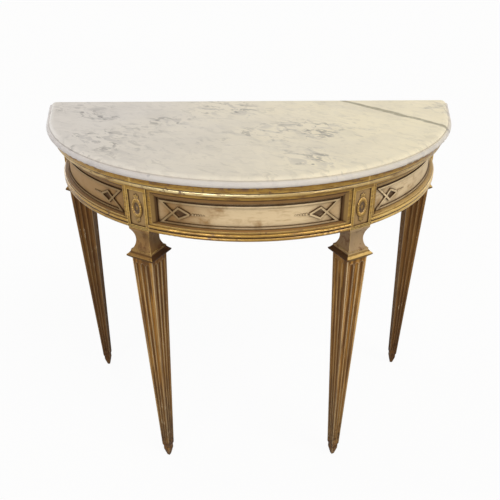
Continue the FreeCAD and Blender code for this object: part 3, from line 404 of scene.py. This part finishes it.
def gilt_material(name, carved=False):
    """Gold leaf rubbed through to bole and gesso, with brown glazing and painted shade in the recesses,
    painted highlights on the bead and rounds, and painted light on the right bay's base.
    """
    shade = Shader(name, BRONZE)
    shade.put(coat_weight=0.35, coat_roughness=0.18)
    turn = shade.polar()[0]
    along = shade.along_arc()
    patch = shade.noise(scale=14.0, detail=6.0, rough=0.62, place=along)
    shade.lay(GOLD, shade.ramp(patch, 0.36, 0.54))
    bright = shade.noise(scale=34.0, detail=5.0, rough=0.6, place=along)
    shade.lay(GOLD_BRIGHT, shade.ramp(bright, 0.54, 0.76), strength=0.6)
    # Painted shade on faces that look toward the middle of the table.
    shade.lay(UMBER, shade.inward(), strength=0.30)
    # Painted shade, in bole colour, in the broad hollows.
    shade.lay(BOLE_AND_SHADE, shade.hollow(reach=0.024, low=0.50, high=0.98), strength=0.70)
    # Rubbing and painted highlight on the rounds and narrow ridges.
    ridge = shade.ridge(reach=0.004, low=0.50, high=0.95)
    shade.lay(GOLD_BRIGHT, ridge, strength=0.25 if carved else 0.65)

    # Base moulding darker outside the right bay, with painted light on it inside the right bay.
    base = shade.fade(shade.axis("Z"), BASE_TOP, BASE_TOP + BASE_BLEND)
    lit_right_bay = shade.ramp(turn, *GILT_LIT_RIGHT_BAY)
    shade.lay(BRONZE, shade.times(base, shade.rest(lit_right_bay)), strength=0.30)
    shade.lay(GOLD_BRIGHT, shade.times(base, lit_right_bay), strength=0.55)
    # Painted highlight on the bead under the slab, strongest a little left of the middle.
    bead = shade.band(shade.axis("Z"), BEAD_MIDDLE, *BEAD_LIMITS)
    bead_highlight = shade.times(bead, shade.ramp(patch, 0.35, 0.50, floor=0.2))
    middle = shade.ramp(shade.gap(turn, BEAD_HIGHLIGHT_TURN), *BEAD_HIGHLIGHT_LIMITS, floor=1.0, top=0.35)
    shade.lay(GOLD_HIGHLIGHT, shade.times(bead_highlight, middle), strength=0.80)
    off_butt = shade.ramp(shade.gap(shade.size(turn), LEG_ANGLE), *BUTT_LIMITS)
    shade.lay(GOLD_BRIGHT, shade.times(shade.arris(radius=0.0014), off_butt), strength=0.8)

    chip = shade.ramp(shade.noise(scale=70.0, detail=6.0, rough=0.65), 0.56, 0.63)
    lost = shade.times(chip, shade.ramp(shade.noise(scale=9.0), 0.42, 0.62, floor=0.25, top=0.9))
    rubbed = shade.ramp(shade.noise(scale=52.0, rough=0.6), 0.52, 0.60, top=0.9)
    lost = shade.most(lost, shade.times(rubbed, shade.ramp(shade.axis("Z"), *UNDER_SLAB)))
    shade.lay(BOLE_AND_SHADE, lost)
    fleck = shade.noise(scale=120.0, rough=0.6, place=shade.stretched(shift=FLECK_SHIFT))
    shade.lay(GESSO, shade.ramp(fleck, 0.69, 0.76), strength=0.6)
    # Glazing and painted shade in the narrow hollows and the low parts of the carving.
    dirt_and_shade = shade.times(shade.hollow(reach=0.008, low=0.42, high=0.94), 0.95)
    if carved:
        height = shade.times(shade.axis("Y"), -1.0)
        dirt_and_shade = shade.most(dirt_and_shade, shade.ramp(height, *CARVING_DIRT_AND_SHADE, floor=0.85, top=0.0))
    shade.lay(GLAZE_AND_SHADE, dirt_and_shade)
    shade.put(metallic=shade.ramp(shade.most(lost, dirt_and_shade), 0.0, 0.8, floor=0.72, top=0.05))
    shade.put(roughness=shade.ramp(patch, 0.25, 0.75, floor=0.46, top=0.26))
    shade.bump(shade.noise(scale=140.0), distance=0.0006, strength=0.5, edge=0.0008)
    return shade.done()


# Where the finish of the necks and collars changes, in metres.
# Right-hand legs: paler necks, and painted light on their collars.
NECK_PALE_AND_LIT = (-0.10, 0.15)
COLLAR_BLEND = 0.0015
UNDERCUT_BLEND = 0.0012
LINE_LIMITS = (0.0009, 0.0024)
NECK_STREAK = (1.0, 1.0, 0.25)


def neck_material():
    """Rubbed gilding of the necks and collars: brown, with gold arrises, painted light on the
    right-hand collars, and painted shade on the inner faces, in the hollows and under the collars.
    """
    shade = Shader("dull_gilt", UMBER)
    shade.put(specular_IOR_level=0.20)
    height = shade.axis("Z")
    streak = shade.noise(scale=60.0, detail=6.0, rough=0.62, place=shade.stretched(NECK_STREAK))
    shade.lay(DULL_GOLD, shade.ramp(streak, 0.28, 0.58))
    stain = shade.noise(scale=24.0, detail=5.0, rough=0.62)
    shade.lay(TAN, shade.ramp(stain, 0.46, 0.70), strength=0.7)
    to_right = shade.ramp(shade.axis("X"), *NECK_PALE_AND_LIT)
    shade.lay(ASH, to_right, strength=0.55)
    collar = shade.fade(height, COLLAR_TOP - COLLAR_BLEND, COLLAR_TOP)
    shade.lay(BRONZE, collar, strength=0.6)
    # Painted light on the collars of the right-hand legs.
    shade.lay(GOLD_BRIGHT, shade.times(collar, to_right), strength=0.45)
    inward = shade.inward()
    # Painted shade on faces that look toward the middle of the table.
    shade.lay(UMBER, inward, strength=0.55)
    # Painted shade, in bole colour, in the broad hollows.
    shade.lay(BOLE_AND_SHADE, shade.hollow(reach=0.024, low=0.50, high=0.98), strength=0.5)
    rubbed = shade.times(shade.arris(radius=0.0016), shade.ramp(streak, 0.35, 0.55, floor=0.3))
    shade.lay(GOLD_BRIGHT, rubbed, strength=0.75)
    # Painted shade on the inner faces of the collars.
    shade.lay(GLAZE_AND_SHADE, shade.times(inward, collar), strength=0.95)
    # Painted shadow under the arris of each collar.
    undercut_shadow = shade.fade(height, UNDERCUT_TOP - UNDERCUT_BLEND, UNDERCUT_TOP)
    shade.lay(GLAZE_AND_SHADE, undercut_shadow, strength=0.80)
    for level in COLLAR_LINES:
        shade.lay(GLAZE_AND_SHADE, shade.band(height, level, *LINE_LIMITS), strength=0.70)
    chip = shade.noise(scale=70.0, detail=6.0, rough=0.65)
    shade.lay(BOLE_AND_SHADE, shade.ramp(chip, 0.54, 0.64), strength=0.7)
    # Glazing and painted shade in the narrow hollows.
    shade.lay(GLAZE_AND_SHADE, shade.hollow(reach=0.006, low=0.40, high=0.92), strength=0.94)
    shade.put(metallic=shade.times(shade.math("SUBTRACT", collar, inward), 0.45))
    shade.put(roughness=shade.ramp(streak, 0.25, 0.75, floor=0.52, top=0.36))
    shade.bump(streak, distance=0.0006, strength=0.4, edge=0.0008)
    return shade.done()


# Where the paint changes: radii and half widths in metres, angles in radians.
BEVEL_FOOT = (FIELD_RADIUS + 0.0055, FIELD_RADIUS + 0.0080)
COVE_LIMITS = (0.0008, 0.0026)
LOZENGE_LIMITS = (0.55, 1.1)
PANEL_SHIFT = 0.05
PANEL_SWAY = 0.35
PANEL_PALE = (0.06, 0.36)
PANEL_ENDS = (0.10, 0.16)
# Angles over which painted shade deepens the left bay and painted light brightens the right bay.
SHADED_LEFT_BAY = (0.45, 0.60)
LIT_RIGHT_BAY = (0.54, 0.66)


def lozenge_darkening(shade):
    """Share of dark colour inside the lozenges of the fret."""
    turn = shade.size(shade.polar()[0])
    up = shade.math("DIVIDE", shade.gap(shade.axis("Z"), PANEL_MIDDLE), LOZENGE_RISE)
    total = 0.0
    for middle in LOZENGE_TURNS:
        along = shade.times(shade.gap(turn, middle), FIELD_RADIUS / LOZENGE_RUN)
        inside = shade.fade(shade.math("ADD", along, up), *LOZENGE_LIMITS)
        total = shade.most(total, inside)
    return total


def bevel_glaze(shade):
    """Share of dark glazing on the inner part of the bevels of the stiles."""
    return shade.fade(shade.polar()[1], *BEVEL_FOOT)


def cove_shadow(shade):
    """Share of painted shadow in the quirk under the cove."""
    return shade.band(shade.axis("Z"), COVE_FOOT, *COVE_LIMITS)


def paint_material(name, pale, deep, edge_colour, right, glaze_and_shadow=None):
    """Aged paint: pale in the panels, deepened by painted shade at the left, with painted light in its
    own colour on the right bay.
    """
    shade = Shader(name, deep)
    shade.put(specular_IOR_level=0.20)
    turn = shade.polar()[0]
    shifted = shade.gap(turn, PANEL_SHIFT)
    to_leg = shade.math("MINIMUM", shade.gap(shifted, LEG_ANGLE), shade.gap(shifted, BACK_ANGLE))
    cloud = shade.noise(scale=9.0, detail=6.0, rough=0.62)
    reach = shade.math("ADD", to_leg, shade.sway(cloud, PANEL_SWAY))
    shade.lay(pale, shade.ramp(reach, *PANEL_PALE))
    shade.lay(pale, shade.band(shade.size(turn), LEG_ANGLE, *PANEL_ENDS), strength=0.40)
    # Painted shade on the left bay.
    shade.lay(deep, shade.ramp(shade.times(turn, -1.0), *SHADED_LEFT_BAY), strength=0.85)
    # Painted light on the right bay, in a colour of its own.
    shade.lay(right, shade.ramp(turn, *LIT_RIGHT_BAY))
    shade.lay(deep, shade.ramp(shade.noise(scale=26.0, detail=6.0, rough=0.65), 0.48, 0.78))
    brush = shade.noise(scale=19.0, detail=5.0, rough=0.6, place=shade.along_arc())
    shade.lay(deep, shade.ramp(brush, 0.48, 0.76), strength=0.50)
    shade.lay(edge_colour, shade.arris(radius=0.001), strength=0.7)
    # Glazing and painted shade in the broad hollows.
    shade.lay(UMBER, shade.hollow(reach=0.022, low=0.45, high=1.0), strength=0.55)
    # Dark marks a material is given: glazing on the bevels, dark lozenges, painted shadow under the
    # cove.
    if glaze_and_shadow:
        shade.lay(GLAZE_AND_SHADE, glaze_and_shadow(shade), strength=0.85)
    # Glazing and painted shade in the narrow hollows.
    shade.lay(GLAZE_AND_SHADE, shade.hollow(reach=0.008, low=0.46, high=0.92), strength=0.95)
    shade.put(roughness=shade.ramp(cloud, 0.3, 0.7, floor=0.42, top=0.6))
    shade.bump(brush, distance=0.0005, strength=0.4, edge=0.0007)
    return shade.done()


# Where the wood of the legs changes: heights and depth from front to back in metres.
SHAFT_BLEND = 0.02
# Depth over which painted shade darkens the back legs.
SHADED_BACK_LEGS = (0.0, 0.20)
# Heights and facing of the painted light on the upper legs' right-hand faces.
LIT_PALE_HEIGHTS = (0.28, 0.58)
LIT_PALE_FACING = (0.20, 0.50)
FOOT_HEIGHTS = (0.0, 0.50)
ANKLE_HEIGHTS = (0.04, 0.16)
BROAD_SHIFT = (2.0, 5.0, 1.0)
PORE_SHIFT = (1.0, 3.0, 2.0)


def wood_material(name, light, middle, dark, edge_colour, grain_axis):
    """Worn wood with streaks along the grain, grime and painted shade in the hollows, pale rubbed
    arrises, painted light on right-facing faces and painted shade on inner faces and back legs.
    """
    shade = Shader(name, dark)
    shade.put(specular_IOR_level=0.18)
    height = shade.axis("Z")
    grain = shade.along_grain(grain_axis, factor=0.055)
    streak = shade.noise(scale=95.0, detail=7.0, rough=0.62, place=grain, bend=0.3)
    shade.lay(middle, shade.ramp(streak, 0.32, 0.60))
    grain = shade.along_grain(grain_axis, factor=0.12, shift=BROAD_SHIFT)
    broad = shade.noise(scale=34.0, detail=5.0, rough=0.6, place=grain)
    shade.lay(light, shade.ramp(broad, 0.46, 0.72))
    stain = shade.noise(scale=13.0, detail=5.0, rough=0.6)
    shade.lay(dark, shade.ramp(stain, 0.50, 0.74), strength=0.6)
    grain = shade.along_grain(grain_axis, factor=0.03, shift=PORE_SHIFT)
    pores = shade.noise(scale=190.0, rough=0.6, place=grain)
    shade.lay(dark, shade.ramp(pores, 0.50, 0.58), strength=0.8)

    # Grime and painted shade in the flutes and hollows.
    shade.lay(GLAZE_AND_SHADE, shade.hollow(reach=0.010, low=0.30, high=0.98), strength=0.70)
    ridge = shade.ridge(reach=0.004, low=0.55, high=0.97)
    scuff = shade.times(ridge, shade.ramp(streak, 0.25, 0.55, floor=0.35))
    rubbed = shade.ramp(shade.noise(scale=7.0, detail=3.0), 0.38, 0.62, floor=0.55)
    shade.lay(edge_colour, shade.times(scuff, rubbed), strength=0.95)
    # Painted light: paler rubbed ridges on faces that look right, on the upper legs.
    lit_rightward = shade.ramp(shade.facing(), *LIT_PALE_FACING)
    pale = shade.times(lit_rightward, shade.ramp(height, *LIT_PALE_HEIGHTS))
    shade.lay(GESSO, shade.times(scuff, pale), strength=0.8)

    # Painted shade on faces toward the middle of the table, and on the back legs.
    shade.lay(dark, shade.inward(), strength=0.40)
    on_leg = shade.fade(height, SHAFT_TOP - SHAFT_BLEND, SHAFT_TOP)
    shade.lay(dark, shade.times(shade.ramp(shade.axis("Y"), *SHADED_BACK_LEGS), on_leg), strength=0.62)
    # Darker towards the foot.
    shade.lay(GLAZE_AND_SHADE, shade.fade(height, *FOOT_HEIGHTS), strength=0.55)
    mottle = shade.ramp(shade.noise(scale=75.0, detail=5.0, rough=0.62), 0.47, 0.56)
    shade.lay(GLAZE_AND_SHADE, shade.times(mottle, shade.fade(height, *ANKLE_HEIGHTS)), strength=0.75)
    nick = shade.ramp(shade.noise(scale=38.0, detail=3.0), 0.64, 0.68)
    shade.lay(GESSO, shade.times(shade.arris(radius=0.002), nick), strength=0.8)
    shade.put(roughness=shade.ramp(streak, 0.3, 0.7, floor=0.40, top=0.62))
    shade.bump(streak, distance=0.0006, strength=0.5, edge=0.0009)
    return shade.done()


# Limits that sort the faces of a piece: slack in metres, and parts of a face's normal.
FACE_SLACK = 0.0005
CURVE_SLACK = 0.001
UPRIGHT_LIMIT = 0.2
OUTWARD_LIMIT = 0.95
BACKWARD_LIMIT = 0.6


def from_centre(point):
    """Distance of a point from the upright line through the centre of the apron's arc."""
    return math.hypot(point.x - ARC_CENTRE.x, point.y - ARC_CENTRE.y)


def block_face(corner):
    """Outward direction of a corner block and the distance of its face along it."""
    if corner.startswith("front"):
        turn, reach = LEG_ANGLE, FRONT_BLOCK_FACE
    else:
        turn, reach = BACK_ANGLE, BACK_BLOCK_FACE
    if corner.endswith("left"):
        turn = -turn
    return Vector((math.sin(turn), -math.cos(turn), 0.0)), reach


def dress(node, *materials, choose=None):
    """Give a node its materials; choose returns the place in the list for each face."""
    mesh = nodes[node].data
    mesh.materials.clear()
    for material in materials:
        mesh.materials.append(material)
    for face in mesh.polygons:
        face.material_index = choose(face) if choose else 0


def rail_part(face):
    """Painted front of a rail first, bare wood behind it."""
    return from_centre(face.center) < FIELD_RADIUS - CURVE_SLACK


def frame_part(face):
    """Painted bevels of a panel frame first, then its gilt cove and stiles, then the stiles' bevels."""
    upright = abs(face.normal.z) < UPRIGHT_LIMIT
    outward = (face.center - ARC_CENTRE).xy.normalized()
    if upright and face.normal.xy.dot(outward) < OUTWARD_LIMIT:
        return 2
    return upright or from_centre(face.center) > FIELD_RADIUS + FRAME_DEPTH - FACE_SLACK


def leg_part(face):
    """Fluted shaft first, then the gilt neck and collar above it."""
    return face.center.z > SHAFT_TOP


def block_part(outward, reach):
    """Chooser for a block: gilt frame first, then the ground of its sunk panel, then bare wood."""
    def choose(face):
        depth = reach - (face.center - ARC_CENTRE).dot(outward)
        if depth > BLOCK_SHOWN or face.normal.y > BACKWARD_LIMIT:
            return 2
        return abs(depth - SUNK_DEPTH) < FACE_SLACK and face.normal.dot(outward) > OUTWARD_LIMIT
    return choose


# Carved patera: a rope ring round a dish with a boss, and a spray of leaves above and below.
PATERA_HALF = 0.0135
PATERA_RISE = 0.0235
PATERA_STEP = 0.0005
CARVING_HALF = 0.0170
CARVING_RISE = 0.0370
RING_PLACE = 0.76
RING_HALF = 0.24
RING_HEIGHT = 0.0045
ROPE_TURNS = 20
ROPE_LEVEL = 0.9
ROPE_DEPTH = 0.14
ROPE_SLANT = 2.4
DISH_HEIGHT = 0.0006
DISH_RAYS = 22
RAY_DEPTH = 0.45
RAY_START = 0.34
RAY_BLEND = 0.2
BOSS_HALF = 0.0028
BOSS_RISE = 0.0060
BOSS_HEIGHT = 0.0022
LEAF_ROOT = 0.0210
LEAF_HALF = 0.0026
LEAF_HEIGHT = 0.0030
LEAF_FAN = math.radians(31)
LEAF_LENGTHS = (0.0135, 0.0118, 0.0085)
LEAF_SWELL = 0.8
LEAF_END_LEVEL = 0.55
GROOVE_DEPTH = 0.45
GROOVE_HALF = 0.16
LEAF_VEINS = 9
LEAF_VEIN_DEPTH = 0.10
TINY_SHARE = 0.001
TINY_WIDTH = 1e-6


def dome(place):
    return np.sqrt(np.clip(1.0 - place ** 2, 0.0, None))


def leaf_height(x, z, length, lean):
    """Height of one leaf with a groove along its middle, rooted at the oval."""
    along = (x * math.sin(lean) + (z - LEAF_ROOT) * math.cos(lean)) / length
    across = x * math.cos(lean) - (z - LEAF_ROOT) * math.sin(lean)
    inside = (along > 0.0) & (along < 1.0)
    share = np.clip(along, TINY_SHARE, 1.0 - TINY_SHARE)
    half = LEAF_HALF * np.sin(math.pi * share ** LEAF_SWELL) + TINY_WIDTH
    groove = 1.0 - GROOVE_DEPTH * np.exp(-(across / (GROOVE_HALF * LEAF_HALF)) ** 2)
    slant = share - np.abs(across) / length
    veins = 1.0 + LEAF_VEIN_DEPTH * np.cos(LEAF_VEINS * math.pi * slant)
    level = LEAF_END_LEVEL + (1.0 - LEAF_END_LEVEL) * np.sin(math.pi * share)
    return np.where(inside, LEAF_HEIGHT * dome(across / half) * groove * veins * level, 0.0)


def patera_height(x, z):
    """Height of the carving above the sunk panel."""
    oval = np.hypot(x / PATERA_HALF, z / PATERA_RISE)
    turn = np.arctan2(z / PATERA_RISE, x / PATERA_HALF)
    across = (oval - RING_PLACE) / RING_HALF
    rope = ROPE_LEVEL + ROPE_DEPTH * np.cos(ROPE_TURNS * turn + ROPE_SLANT * across)
    ring = RING_HEIGHT * dome(across) * rope
    outer = np.clip((oval - RAY_START) / RAY_BLEND, 0.0, 1.0)
    rays = 1.0 + RAY_DEPTH * np.cos(DISH_RAYS * turn) * outer
    dish = np.where(oval < RING_PLACE, DISH_HEIGHT * rays, 0.0)
    boss = BOSS_HEIGHT * dome(np.hypot(x / BOSS_HALF, z / BOSS_RISE))
    heights = [ring, dish, boss]
    for index, length in enumerate(LEAF_LENGTHS):
        for lean in {index * LEAF_FAN, -index * LEAF_FAN}:
            heights.append(leaf_height(x, z, length, lean))
            heights.append(leaf_height(x, -z, length, lean))
    return np.maximum.reduce(heights)


def patera_mesh(material):
    """Carved relief as a fine grid, kept only where it rises from the panel."""
    wide = np.arange(-CARVING_HALF, CARVING_HALF + PATERA_STEP / 2, PATERA_STEP)
    tall = np.arange(-CARVING_RISE, CARVING_RISE + PATERA_STEP / 2, PATERA_STEP)
    x, z = np.meshgrid(wide, tall)
    height = patera_height(x, z)
    spots = np.column_stack([x.ravel(), -height.ravel(), z.ravel()])
    index = np.arange(x.size).reshape(x.shape)
    corners = [index[:-1, :-1], index[:-1, 1:], index[1:, 1:], index[1:, :-1]]
    faces = np.column_stack([corner.ravel() for corner in corners])
    raised = height.ravel()[faces].max(axis=1) > 0.0
    used, faces = np.unique(faces[raised], return_inverse=True)
    mesh = bpy.data.meshes.new("patera_carving")
    mesh.from_pydata(spots[used].tolist(), [], faces.reshape(-1, 4).tolist())
    mesh.shade_smooth()
    mesh.materials.append(material)
    return mesh


def hang_patera(mesh, corner, outward, reach):
    """Set a carved patera in the sunk panel of a corner block, in place of the plain one."""
    carving = bpy.data.objects.new(f"carved_patera_{corner}", mesh)
    bpy.context.collection.objects.link(carving)
    place = ARC_CENTRE + outward * (reach - SUNK_DEPTH)
    if corner.startswith("back"):
        place.y += BACK_BLOCK.y
    place.z = PATERA_MIDDLE
    turn = math.atan2(outward.x, -outward.y)
    carving.matrix_world = Matrix.Translation(place) @ Matrix.Rotation(turn, 4, "Z")
    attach(carving, "stand")
    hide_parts(f"patera_{corner}")


marble = marble_material()
gilt = gilt_material("gilt")
carved_gilt = gilt_material("carved_gilt", carved=True)
dull_gilt = neck_material()
cream = paint_material("cream_paint", CREAM, TAN, GESSO, CREAM, lozenge_darkening)
fret = paint_material("fret_paint", CREAM, BUFF, SAND, CREAM)
taupe = paint_material("taupe_paint", TAN, TAUPE, CREAM, STRAW, cove_shadow)
olive = paint_material("olive_paint", OLIVE, OLIVE_DARK, STRAW, OLIVE, bevel_glaze)
sunk = paint_material("sunk_paint", SAND, SAND, GOLD, SAND)
worn = wood_material("worn_wood", WOOD_LIGHT, WOOD_MID, WOOD_DARK, RIDGE, UPRIGHT)
bare = wood_material("bare_wood", BARE_LIGHT, BARE_DARK, WOOD_DARK, BARE_LIGHT, SIDEWAYS)
patera_carving = patera_mesh(carved_gilt)

dress("marble_top", marble)
for node in ("rail_back", "bearer", "glue_blocks", "tenon_pegs"):
    dress(node, bare)
for bay in BAYS:
    dress(f"rail_{bay}", cream, bare, choose=rail_part)
    dress(f"cornice_{bay}", gilt)
    dress(f"base_moulding_{bay}", gilt)
    dress(f"panel_frame_{bay}", taupe, gilt, olive, choose=frame_part)
    dress(f"fret_{bay}", fret)
    dress(f"beads_{bay}", fret)
for corner in CORNERS:
    outward, reach = block_face(corner)
    dress(f"block_{corner}", gilt, sunk, bare, choose=block_part(outward, reach))
    dress(f"leg_{corner}", worn, dull_gilt, choose=leg_part)
    hang_patera(patera_carving, corner, outward, reach)


# Floor, light and camera.
FLOOR_HALF = 30.0
FLOOR_WHITE = 0.94
FLOOR_COLOUR = (0.70, 0.69, 0.68)
WORLD_LIGHT = 0.34
WARM = (1.0, 0.97, 0.92)
NEUTRAL = (1.0, 0.985, 0.96)
COOL = (0.90, 0.95, 1.0)
CAMERA_PLACE = Vector((-0.0020, -1.3059, 1.2837))
CAMERA_PITCH = 0.51409
CAMERA_YAW = 0.00234
CAMERA_ROLL = -0.0045
SENSOR = 36.0
FOCAL_PIXELS = 600.13
PICTURE_PIXELS = 500


def make_floor():
    """Pale floor that the camera sees as nearly white, with the object's shadow on it."""
    mesh = bpy.data.meshes.new("floor")
    spots = [(x * FLOOR_HALF, y * FLOOR_HALF, 0.0) for x, y in ((-1, -1), (1, -1), (1, 1), (-1, 1))]
    mesh.from_pydata(spots, [], [(0, 1, 2, 3)])
    floor = bpy.data.objects.new("floor", mesh)
    bpy.context.collection.objects.link(floor)
    shade = Shader("floor", FLOOR_COLOUR)
    shade.put(roughness=0.9)
    seen = shade.add("ShaderNodeLightPath").outputs["Is Camera Ray"]
    glow = shade.add("ShaderNodeEmission", {"Color": WHITE, "Strength": 1.0}).outputs[0]
    inputs = {0: shade.times(seen, FLOOR_WHITE), 1: shade.surface.outputs[0], 2: glow}
    both = shade.add("ShaderNodeMixShader", inputs).outputs[0]
    shade.tree.links.new(both, shade.tree.nodes["Material Output"].inputs["Surface"])
    mesh.materials.append(shade.done())


def make_world():
    """Even light all round, and a white surround for the camera and for reflections."""
    world = bpy.data.worlds.new("studio")
    bpy.context.scene.world = world
    world.use_nodes = True
    tree = world.node_tree
    light = tree.nodes["Background"]
    light.inputs["Color"].default_value = (*NEUTRAL, 1.0)
    light.inputs["Strength"].default_value = WORLD_LIGHT
    white = tree.nodes.new("ShaderNodeBackground")
    white.inputs["Color"].default_value = (*WHITE, 1.0)
    white.inputs["Strength"].default_value = 1.0
    path = tree.nodes.new("ShaderNodeLightPath")
    seen = path.outputs["Is Camera Ray"]
    for kind in ("Is Glossy Ray", "Is Transmission Ray"):
        either = tree.nodes.new("ShaderNodeMath")
        either.operation = "MAXIMUM"
        tree.links.new(seen, either.inputs[0])
        tree.links.new(path.outputs[kind], either.inputs[1])
        seen = either.outputs[0]
    both = tree.nodes.new("ShaderNodeMixShader")
    tree.links.new(seen, both.inputs[0])
    tree.links.new(light.outputs[0], both.inputs[1])
    tree.links.new(white.outputs[0], both.inputs[2])
    tree.links.new(both.outputs[0], tree.nodes["World Output"].inputs["Surface"])


def make_sun(name, turn, height, strength, spread, colour):
    """Soft light from far off; the turn is from the front toward the right, angles in degrees."""
    turn = math.radians(turn)
    height = math.radians(height)
    level = math.cos(height)
    source = Vector((math.sin(turn) * level, -math.cos(turn) * level, math.sin(height)))
    lamp = bpy.data.lights.new(name, "SUN")
    lamp.energy = strength
    lamp.angle = math.radians(spread)
    lamp.color = colour
    sun = bpy.data.objects.new(name, lamp)
    sun.rotation_mode = "QUATERNION"
    sun.rotation_quaternion = source.to_track_quat("Z", "Y")
    bpy.context.collection.objects.link(sun)


def make_window(name, place, target, width, height, power):
    """Cool panel of light behind one end, for the bright line on the edges there."""
    lamp = bpy.data.lights.new(name, "AREA")
    lamp.shape = "RECTANGLE"
    lamp.size = width
    lamp.size_y = height
    lamp.energy = power
    lamp.color = COOL
    window = bpy.data.objects.new(name, lamp)
    place = Vector(place)
    turn = (place - Vector(target)).to_track_quat("Z", "Y").to_matrix().to_4x4()
    window.matrix_world = Matrix.Translation(place) @ turn
    window.visible_camera = False
    bpy.context.collection.objects.link(window)


def make_camera():
    """Camera that stands where the photo was taken from."""
    forward = Vector((
        math.sin(CAMERA_YAW) * math.cos(CAMERA_PITCH),
        math.cos(CAMERA_YAW) * math.cos(CAMERA_PITCH),
        -math.sin(CAMERA_PITCH),
    ))
    level = forward.cross(Vector((0, 0, 1))).normalized()
    right = Matrix.Rotation(CAMERA_ROLL, 3, -forward) @ level
    up = right.cross(forward)
    lens = bpy.data.cameras.new("camera")
    lens.sensor_width = SENSOR
    lens.lens = SENSOR * FOCAL_PIXELS / PICTURE_PIXELS
    camera = bpy.data.objects.new("camera", lens)
    turn = Matrix((right, up, -forward)).transposed().to_4x4()
    camera.matrix_world = Matrix.Translation(CAMERA_PLACE) @ turn
    bpy.context.collection.objects.link(camera)
    bpy.context.scene.camera = camera


make_floor()
make_world()
make_sun("room", turn=48, height=47, strength=1.50, spread=35, colour=WARM)
make_sun("front_window", turn=-24, height=24, strength=1.15, spread=26, colour=NEUTRAL)
make_sun("sky", turn=-120, height=55, strength=0.35, spread=60, colour=COOL)
make_window(
    "window_left", place=(-1.80, 1.75, 1.05), target=(-0.48, 0.15, 0.75),
    width=0.6, height=0.9, power=5.0,
)
make_window(
    "window_right", place=(2.00, 1.60, 1.05), target=(0.48, 0.15, 0.80),
    width=0.5, height=0.9, power=2.5,
)
make_camera()
bpy.context.scene.view_settings.view_transform = "Standard"
